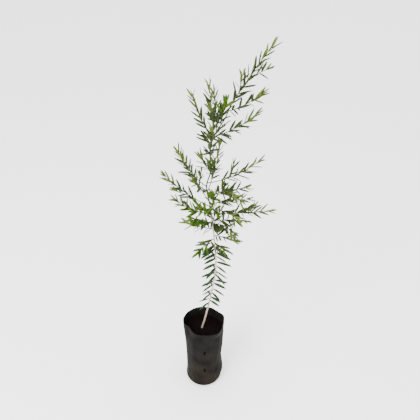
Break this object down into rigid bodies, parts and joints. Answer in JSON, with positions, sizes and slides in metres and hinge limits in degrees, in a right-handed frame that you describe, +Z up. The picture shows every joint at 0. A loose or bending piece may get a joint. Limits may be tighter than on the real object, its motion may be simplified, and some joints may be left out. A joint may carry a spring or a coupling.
{
  "type": "potted sapling",
  "caption": "Young narrow-leaved melaleuca with one slender stem, growing in a black nursery bag.",
  "frame": {"origin": "centre of the bag's flat underside", "axes": "+Z up along the plant, +X towards the side that the leading shoot leans to, -Y towards the viewer of the picture"},
  "size_m": [0.2291, 0.1865, 0.8526],
  "materials": {
    "bag_film": "satin",
    "soil": "matte",
    "bark": "matte",
    "foliage": "satin"
  },
  "bodies": {
    "root": {"bough_back_high": "bark", "bough_back_left": "bark", "bough_back_right": "bark", "bough_left_front": "bark", "bough_left_high": "bark", "bough_left_mid": "bark", "bough_right_front": "bark", "bough_right_high": "bark", "bough_right_long": "bark", "bough_top_left": "bark", "grow_bag": "bag_film", "shoot_back_high": "foliage", "shoot_back_left": "foliage", "shoot_back_low": "foliage", "shoot_back_right": "foliage", "shoot_front_high": "foliage", "shoot_front_left": "foliage", "shoot_leader": "foliage", "shoot_left_back": "foliage", "shoot_left_front": "foliage", "shoot_left_high": "foliage", "shoot_left_low": "foliage", "shoot_left_mid": "foliage", "shoot_mid_front": "foliage", "shoot_mid_front_low": "foliage", "shoot_mid_left": "foliage", "shoot_mid_upright": "foliage", "shoot_right_back": "foliage", "shoot_right_front": "foliage", "shoot_right_front_low": "foliage", "shoot_right_high": "foliage", "shoot_right_inner": "foliage", "shoot_right_long": "foliage", "shoot_right_low": "foliage", "shoot_right_low_front": "foliage", "shoot_right_lowest": "foliage", "shoot_right_mid": "foliage", "shoot_top_back": "foliage", "shoot_top_front": "foliage", "shoot_top_left": "foliage", "shoot_top_right": "foliage", "shoot_top_right_low": "foliage", "shoot_top_short_front": "foliage", "shoot_top_short_left": "foliage", "shoot_top_short_low": "foliage", "shoot_top_short_right": "foliage", "shoot_top_upright": "foliage", "soil": "soil", "trunk": "bark", "tuft_a": "foliage", "tuft_b": "foliage", "tuft_c": "foliage", "tuft_d": "foliage", "tuft_e": "foliage", "tuft_f": "foliage", "tuft_g": "foliage", "tuft_h": "foliage", "tuft_i": "foliage", "tuft_j": "foliage", "tuft_k": "foliage"}
  },
  "joints": []
}
